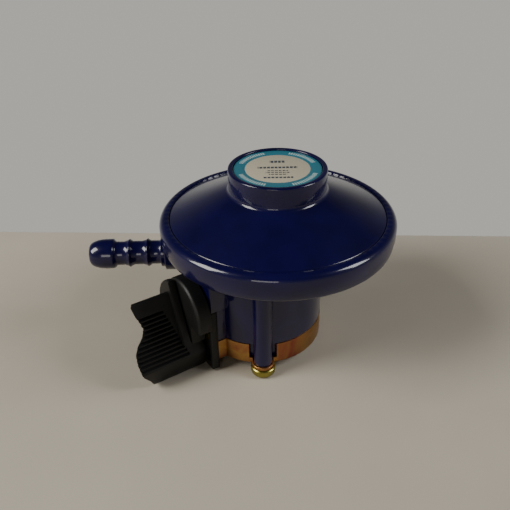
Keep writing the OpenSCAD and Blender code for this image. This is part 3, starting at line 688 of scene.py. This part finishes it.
class REGULATOR_OT_nozzle(RegulatorOperator):
    """Turns the hose nozzle with its collar, two ridges and rounded bulb"""

    bl_idname = "regulator.make_nozzle"
    bl_label = "Hose nozzle"

    def execute(self, context):
        barrel, bore, root, root_r, face, tip = 4.2, 2.4, 33.2, 4.4, 39.6, 66
        collar_r, collar_round, collar_end = 4.9, 0.3, 41.05
        ridges = (45.6, 52)
        bulb_r, bulb_side, tip_r = barrel + 1.05, 60.2, 2.9
        outline = [(bore, root), (root_r, root), (root_r, face), (5.1, face + 0.02)]
        outline += arc(collar_r, collar_end - collar_round, collar_round, 0, 90, 4)
        outline += [(barrel + 0.15, collar_end), (barrel, collar_end + 0.25)]
        for ridge in ridges:
            outline += [(barrel, ridge - 1.2), (barrel + 0.25, ridge - 0.8)]
            outline += arc(barrel + 0.35, ridge, 0.4, -60, 60, 4)
            outline += [(barrel + 0.25, ridge + 1.1), (barrel, ridge + 1.9)]
        outline += [(barrel, 56.5), (barrel + 0.12, 56.85), (barrel + 0.8, 57.35), (barrel + 1, 57.7),
                    (bulb_r, 58.3), (bulb_r, bulb_side)]
        # the bulb's end is a quarter of an ellipse
        outline += [(tip_r + (bulb_r - tip_r) * math.cos(t), bulb_side + (tip - bulb_side) * math.sin(t))
                    for t in (math.radians(a) for a in range(10, 81, 10))]
        outline += [(tip_r, tip), (bore + 0.1, tip - 0.15), (bore, tip - 0.5)]
        nozzle = lathe("ridged_nozzle", outline, self.sizes.turned_steps // 2, closed=True)
        place(nozzle, (0, DOME_Y, NOZZLE_Z), (0, 90, NOZZLE_AZIMUTH))
        fit(smooth(nozzle, 40), "housing", "blue_enamel", blue_enamel(), "hose_nozzle")
        return {"FINISHED"}


class REGULATOR_OT_ring(RegulatorOperator):
    """Presses the retaining ring: its wall, its inward flange, the ears and the column notches"""

    bl_idname = "regulator.make_ring"
    bl_label = "Retaining ring"

    def outline(self, inset, height):
        """The ring's outline at a distance inwards: a circle with the knob boss's square front."""
        radius, side, front = 21.7 - inset, 8.2 - inset, -23.4 + inset
        corner = math.degrees(math.asin(side / radius))
        round_part = arc(0, 0, radius, -90 + corner, 270 - corner, 120)
        return [(x, y, height) for x, y in round_part + [(-side, front), (side, front)]]

    def execute(self, context):
        sheet, burr = 1.3, 0.2
        mouth_r = 14.4
        ear_r, ear_round = 3.85, 0.25
        notch_x, notch_y, notch_z = 5, 4.8, 2.6
        column_room_r = 3.65
        above = RING_H + 2
        ring = prism("pressed_ring", self.outline(0, 0), (0, 0, RING_H))
        bevel_where(ring, lambda p: p.z < 0.01, self.sizes.sheet_edge)
        bevel_where(ring, lambda p: p.z > RING_H - 0.01, burr, 2)
        inside = prism("inside", self.outline(sheet, sheet), (0, 0, RING_H))
        mouth = rod("mouth", mouth_r, (0, 0, -1), (0, 0, 3), 96)

        def ear():
            """The flange's round ear under one column."""
            return lathe("ear", [(0, 0)] + arc(ear_r - ear_round, ear_round, ear_round, 270, 360, 3)
                         + arc(ear_r - ear_round, sheet - ear_round, ear_round, 0, 90, 3)
                         + [(0, sheet)], 48)

        def notch():
            """Cutter for the gap in the ring's wall beside one column."""
            return box("notch", (-notch_x, -notch_y, notch_z), (notch_x, notch_y, above))

        def sleeve():
            """Cutter for the room around one column."""
            return rod("clear", column_room_r, (0, 0, sheet + 0.02), (0, 0, above))

        combine(ring, [inside], "DIFFERENCE")
        combine(ring, at_columns(ear), "UNION")
        combine(ring, [mouth, *at_columns(notch), *at_columns(sleeve)], "DIFFERENCE")
        gilt = yellow_chromate("yellow_chromate_steel", linear("#8a4a3c"), linear("#a9824a"), 0.36)
        fit(smooth(ring), "housing", "yellow_zinc", gilt, "retaining_ring")
        return {"FINISHED"}


class REGULATOR_OT_screws(RegulatorOperator):
    """Turns the three pan-head ring screws and punches their cross recesses"""

    bl_idname = "regulator.make_ring_screws"
    bl_label = "Ring screws"

    def screw(self):
        """One screw, head down, with a washer face under its head."""
        head_r, head_h, head_round = 4.3, 3.4, 1.5
        shank_r, shank_top = 2, 10.5
        arm_half, arm_width, recess_depth = 2.4, 1, 1.7
        outline = [(0, -head_h), (head_r - 1.6, -head_h)]
        outline += arc(head_r - head_round, -head_h + head_round, head_round, 270, 350, 7)
        outline += [(head_r, -1.1), (head_r, -0.35), (head_r - 0.3, -0.05), (shank_r, -0.02),
                    (shank_r, shank_top), (0, shank_top)]
        screw = lathe("screw", outline, 48)
        arms = []
        for turn in (0, 90):
            arm = box("arm", (-arm_half, -arm_width / 2, -head_h - 1),
                      (arm_half, arm_width / 2, -head_h + recess_depth))
            bevel_where(arm, lambda p: p.z > -head_h + recess_depth - 0.1, 0.45, 1)
            arms.append(place(arm, turn=(0, 0, turn)))
        return combine(screw, arms, "DIFFERENCE")

    def execute(self, context):
        screws = join([smooth(s, 40) for s in at_columns(self.screw)], "pan_head_screws")
        passivated = yellow_chromate("passivated_screw", linear("#5f5b24"), linear("#9c9348"), 0.30)
        fit(screws, "housing", "zinc_screw", passivated, "ring_screws")
        return {"FINISHED"}


class REGULATOR_OT_plate(RegulatorOperator):
    """Moulds the black plate behind the knob, with its windows, collar and tongue"""

    bl_idname = "regulator.make_plate"
    bl_label = "Knob plate"

    def execute(self, context):
        back, front = -23.36, -26.2
        behind, ahead = -20, -30        # the cutters go right through the plate
        half = [(8.3, -2.9), (8.7, -2.7), (8.9, -2.3), (8.9, 22)]
        collar_r, collar_rise, spindle_r = 8.6, 0.6, 4
        window_x, window_width, window_z = 4.7, 2.7, (0.4, 6.2)
        screw_x, screw_z, screw_r, head_r, head_depth = 5.6, 11.6, 1.05, 2.05, 1.3
        outline = [(x, back, z) for x, z in half] + [(-x, back, z) for x, z in reversed(half)]
        plate = prism("escutcheon", outline, (0, front - back, 0))
        soften(plate, self.sizes.moulded_edge)
        collar = rod("collar", collar_r, (0, front + 0.12, SWITCH_Z), (0, front - collar_rise, SWITCH_Z), 96)
        combine(plate, [soften(collar, 0.2)], "UNION")
        windows = [box("window", (x, ahead, window_z[0]), (x + window_width, behind, window_z[1]))
                   for x in (window_x, -window_x - window_width)]
        holes = [rod("spindle_hole", spindle_r, (0, ahead, SWITCH_Z), (0, behind, SWITCH_Z))]
        for x in (-screw_x, screw_x):
            holes.append(rod("screw_hole", screw_r, (x, ahead, screw_z), (x, behind, screw_z)))
            holes.append(rod("screw_seat", head_r, (x, ahead, screw_z), (x, front + head_depth, screw_z)))
        combine(plate, windows + holes, "DIFFERENCE")
        fit(smooth(plate), "housing", "black_plastic", black_nylon(), "knob_plate")
        return {"FINISHED"}


class REGULATOR_OT_knob(RegulatorOperator):
    """Moulds the switch knob: the round hub, the wedge-shaped grip and its grooves"""

    bl_idname = "regulator.make_knob"
    bl_label = "Switch knob"

    foot_z = -2.9               # lower side of the grip
    groove_foot = (5.9, 5.1)    # lower edge of the grooved side: across, up
    groove_top = (-4.4, 27.2)   # its upper edge

    def front_across(self, height):
        """Where the grip's front side is, across, at a height: the chin and then the grooved side."""
        corners = ((2.9, self.foot_z), (4.2, -2.2), (4.7, -0.6), self.groove_foot, self.groove_top)
        for low, high in zip(corners, corners[1:]):
            if height <= high[1]:
                break
        return low[0] + (high[0] - low[0]) * (height - low[1]) / (high[1] - low[1])

    def outer_end(self, slant):
        """The grip's outer end, drawn on its front side and laid square to the slant."""
        drawn = [(44.8, self.foot_z), (46.9, -1.9), (48.2, 0.8), (50.1, 3.5), (51, 6.3), (51.3, 9), (51, 12),
                 (49.5, 14.4), (47.3, 16.2), (46, 18.8), (46.6, 21.2), (47.3, 23.2), (47.9, 26.2),
                 (47.4, 27.6)]
        level = Euler([math.radians(a) for a in slant]).to_matrix().transposed()
        outline = []
        for out, height in drawn:
            point = level @ Vector((self.front_across(height), -out, height))
            outline.append((round(-point.y, 1), round(point.z, 1)))
        inner, low, high = 10, -14, outline[-1][1] + 10
        start, finish = (outline[0][0] - 1.5, low), (outline[-1][0] - 6, high)
        return [(inner, low), start, *outline, finish, (inner, high)]

    def grip(self):
        """The wedge: its section across, crossed with its side view and with its slanting outer end."""
        section = [self.groove_top, (-5.6, 25.6), (-6.7, 21.3), (-7.5, 16.6), (-8.3, 10), (-8.8, 3),
                   (-8.6, -1.2), (-7.4, -2.5), (2.9, self.foot_z), (4.2, -2.2), (4.7, -0.6), self.groove_foot,
                   (-3.4, 27)]
        side = [(26.9, self.foot_z), (60, self.foot_z), (60, 27.4), (34.5, 27.4), (32.4, 20), (29.4, 12),
                (26.9, 7)]
        slant = (0, -21, -31)           # the outer end recedes on the side without grooves
        across = prism("knob_grip", [(x, -60, z) for x, z in section], (0, 40, 0))
        profile = prism("profile", [(-15, -out, z) for out, z in side], (25, 0, 0))
        end = prism("slanted", [(-40, -out, z) for out, z in self.outer_end(slant)], (80, 0, 0))
        return combine(across, [profile, place(end, turn=slant)], "INTERSECT")

    def grooves(self):
        """Cutters for the grooves, laid down the sloping face from the outer edge inwards."""
        count, tilt = 12, 24.3
        top_x, top_z, across, down = -1.9, 22.8, 7.9, 17.4
        inner_top, inner_shift = -38.2, 5.4     # where a groove ends nearest the hub
        half, depth = self.sizes.rib_width / 2, self.sizes.rib_depth
        cutters = []
        for i in range(count):
            t = (i + 0.5) / count
            cutter = box("groove", (-depth, -60, -half), (1.5, inner_top + inner_shift * t, half))
            cutters.append(place(cutter, (top_x + across * t, 0, top_z - down * t), (0, tilt, 0)))
        return cutters

    def disc(self, low, high, front_round, shift):
        """A round part of the hub with a rounded front edge, turned to face forwards and then shifted."""
        radius, back_round = 12, 0.3
        outline = [(0, 0), (radius - back_round, 0)]
        outline += arc(radius - back_round, back_round, back_round, 270, 360, 3)
        outline += arc(radius - front_round, high - low - front_round, front_round, 0, 90, 7)
        disc = lathe("disc", outline + [(0, high - low)], self.sizes.turned_steps)
        return place(place(disc, (0, high, SWITCH_Z), (90, 0, 0)), (0, shift, 0))

    def execute(self, context):
        front, step, back = -33.6, -31.8, -26.75
        ahead, behind = -40, -20
        # the front part ends beside the grip's grooves; half a millimetre behind it is a whole disc
        hub = self.disc(-back, -step, 1.2, back + step)
        before = self.disc(-step - 0.5, -front, 0.8, step - 0.5 + front)
        beside = prism("cutoff", [(x, ahead, z) for x, z in ((-15, 33), (-3.6, 33), (8.3, 5), (-15, 5))],
                       (0, behind - ahead, 0))
        combine(before, [beside], "INTERSECT")
        soften(before, self.sizes.moulded_edge, angle=50)
        recess = box("recess", (5.5, step - 0.1, 4), (14, behind, 17.5))
        spindle_boss = rod("spindle_boss", 6, (0, ahead, SWITCH_Z), (0, behind, SWITCH_Z))
        combine(recess, [spindle_boss], "DIFFERENCE")
        grip = soften(self.grip(), self.sizes.moulded_edge)
        combine(grip, [join(self.grooves(), "grooves")], "DIFFERENCE")
        combine(grip, [hub, before], "UNION")
        grub_y, grub_r, well_r, well_end = -29.9, 1.4, 3.1, -31
        grub_hole = rod("grub_hole", grub_r, (-20, grub_y, SWITCH_Z), (-2, grub_y, SWITCH_Z))
        spindle_well = rod("spindle_well", well_r, (0, well_end, SWITCH_Z), (0, behind, SWITCH_Z))
        combine(grip, [recess, grub_hole, spindle_well], "DIFFERENCE")
        grip.name = grip.data.name = "switch_grip"
        fit(smooth(grip), "switch_knob", "black_plastic", black_nylon(), "knob_handle")
        return {"FINISHED"}


class REGULATOR_OT_inner_works(RegulatorOperator):
    """Finishes the coupling, the switch works and the valve, which keep their own shapes"""

    bl_idname = "regulator.finish_inner_works"
    bl_label = "Inner works"

    def execute(self, context):
        finishes = {
            "steel": turned_metal("turned_steel", linear("#8f9091"), 0.34),
            "spring_steel": turned_metal("oil_tempered_spring_steel", linear("#6d6f73"), 0.30),
            "brass": turned_metal("turned_brass", linear("#b8954a"), 0.30),
            "aluminium": turned_metal("pressed_aluminium", linear("#b4b6b8"), 0.38),
            "zinc_screw": bpy.data.materials["passivated_screw"],
            "rubber": nitrile_rubber(),
            "black_plastic": black_nylon(),
        }
        slots = {part["node"]: part["material_slot"] for part in frame["record"]["subparts"]}
        for name, part in NODES.items():
            if not part.hide_render:
                part.data.materials.clear()
                part.data.materials.append(finishes[slots[name]])
        return {"FINISHED"}


class REGULATOR_OT_stage(RegulatorOperator):
    """Sets the floor, the room, the soft lights and the camera"""

    bl_idname = "regulator.set_stage"
    bl_label = "Stage"

    def execute(self, context):
        size = 3                        # all of these in metres
        edge_behind = 0.0726            # how far behind the coupling's axis the floor ends
        below = 0.00005                 # kept under the lowest piece
        along = math.radians(54.3)      # that edge is nearly square to the camera
        away = Vector((-math.sin(along), math.cos(along), 0))
        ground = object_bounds()[0][2] - below
        bpy.ops.mesh.primitive_plane_add(size=size, rotation=(0, 0, along),
                                         location=away * (edge_behind - size / 2) + Vector((0, 0, ground)))
        floor = bpy.context.object
        floor.name = "floor"
        floor.data.materials.append(matt_paint("pale_floor_paint", "#a39b8c", "#ada596"))
        floor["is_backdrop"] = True
        self.lights()
        self.camera()
        return {"FINISHED"}

    def lights(self):
        """Two tall softboxes like windows, a weak one in front, and the room's own light."""
        target = Vector((0, 0, 0.03))
        lamps = (
            ("window_left", (-0.25, -0.78, 0.62), (0.42, 0.60), 12.0, (1.0, 0.98, 0.95)),
            ("window_right", (0.58, 0.62, 0.66), (0.34, 0.50), 7.0, (0.97, 0.98, 1.0)),
            ("front_bounce", (0.62, -0.62, 0.25), (0.35, 0.25), 1.2, (1.0, 0.96, 0.9)),
        )
        for name, spot, size, power, colour in lamps:
            bpy.ops.object.light_add(type="AREA", location=spot)
            lamp = bpy.context.object
            lamp.name = name
            lamp.data.shape = "RECTANGLE"
            lamp.data.size, lamp.data.size_y = size
            lamp.data.energy = power
            lamp.data.color = colour
            aim = target - Vector(spot)
            lamp.rotation_euler = aim.to_track_quat("-Z", "Y").to_euler()
        world = bpy.data.worlds.new("soft_room")
        bpy.context.scene.world = world
        world.use_nodes = True
        # a pale room with a dark ceiling, which keeps the top of the cover dark
        direction = node(world.node_tree, "ShaderNodeTexCoord").outputs["Generated"]
        height = node(world.node_tree, "ShaderNodeSeparateXYZ", links={"Vector": direction}).outputs["Z"]
        lifted = node(world.node_tree, "ShaderNodeMapRange", {"From Min": -1}, {"Value": height})
        tint = ramp(world.node_tree, lifted.outputs["Result"],
                    [(0.45, linear("#c9c7c0")), (0.6, linear("#7c7a76")), (0.8, linear("#2c2b2a"))])
        background = world.node_tree.nodes["Background"]
        world.node_tree.links.new(tint, background.inputs["Color"])
        background.inputs["Strength"].default_value = 0.8

    def camera(self):
        """A short telephoto, above and to the right of the switch."""
        bpy.ops.object.camera_add()
        camera = bpy.context.object
        right = Vector((0.54634, 0.83754, -0.01659))
        up = Vector((-0.44526, 0.30712, 0.84112))
        back = Vector((0.70956, -0.45216, 0.54059))
        turn = Matrix((right, up, back)).transposed().to_4x4()
        camera.matrix_world = Matrix.Translation(Vector((148.5, -96.9, 145.2)) * MM) @ turn
        camera.data.lens = 42.35
        camera.data.sensor_width = 36
        bpy.context.scene.camera = camera


STEPS = (REGULATOR_OT_body, REGULATOR_OT_cover, REGULATOR_OT_label, REGULATOR_OT_nozzle,
         REGULATOR_OT_ring, REGULATOR_OT_screws, REGULATOR_OT_plate, REGULATOR_OT_knob,
         REGULATOR_OT_inner_works, REGULATOR_OT_stage)


class REGULATOR_PT_steps(Panel):
    """Lists the building steps and the sizes and colours they use"""

    bl_label = "Regulator"
    bl_idname = "REGULATOR_PT_steps"
    bl_space_type = "VIEW_3D"
    bl_region_type = "UI"
    bl_category = "Regulator"

    def draw(self, context):
        for step in STEPS:
            self.layout.operator(step.bl_idname)
        for group in (context.scene.regulator_sizes, context.scene.regulator_colours):
            column = self.layout.column()
            for name in group.bl_rna.properties.keys():
                if name not in ("rna_type", "name"):
                    column.prop(group, name)


CLASSES = (RegulatorSizes, RegulatorColours, *STEPS, REGULATOR_PT_steps)


def register():
    for cls in CLASSES:
        bpy.utils.register_class(cls)
    bpy.types.Scene.regulator_sizes = PointerProperty(type=RegulatorSizes)
    bpy.types.Scene.regulator_colours = PointerProperty(type=RegulatorColours)


def unregister():
    del bpy.types.Scene.regulator_colours
    del bpy.types.Scene.regulator_sizes
    for cls in reversed(CLASSES):
        bpy.utils.unregister_class(cls)


def corners(bounds):
    """A box's two corners as plain lists of numbers."""
    return [[float(value) for value in corner] for corner in bounds]


def main():
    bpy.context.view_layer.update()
    register()
    for step in STEPS:
        group, name = step.bl_idname.split(".")
        getattr(getattr(bpy.ops, group), name)()
    deselect()


if __name__ == "__main__":
    main()
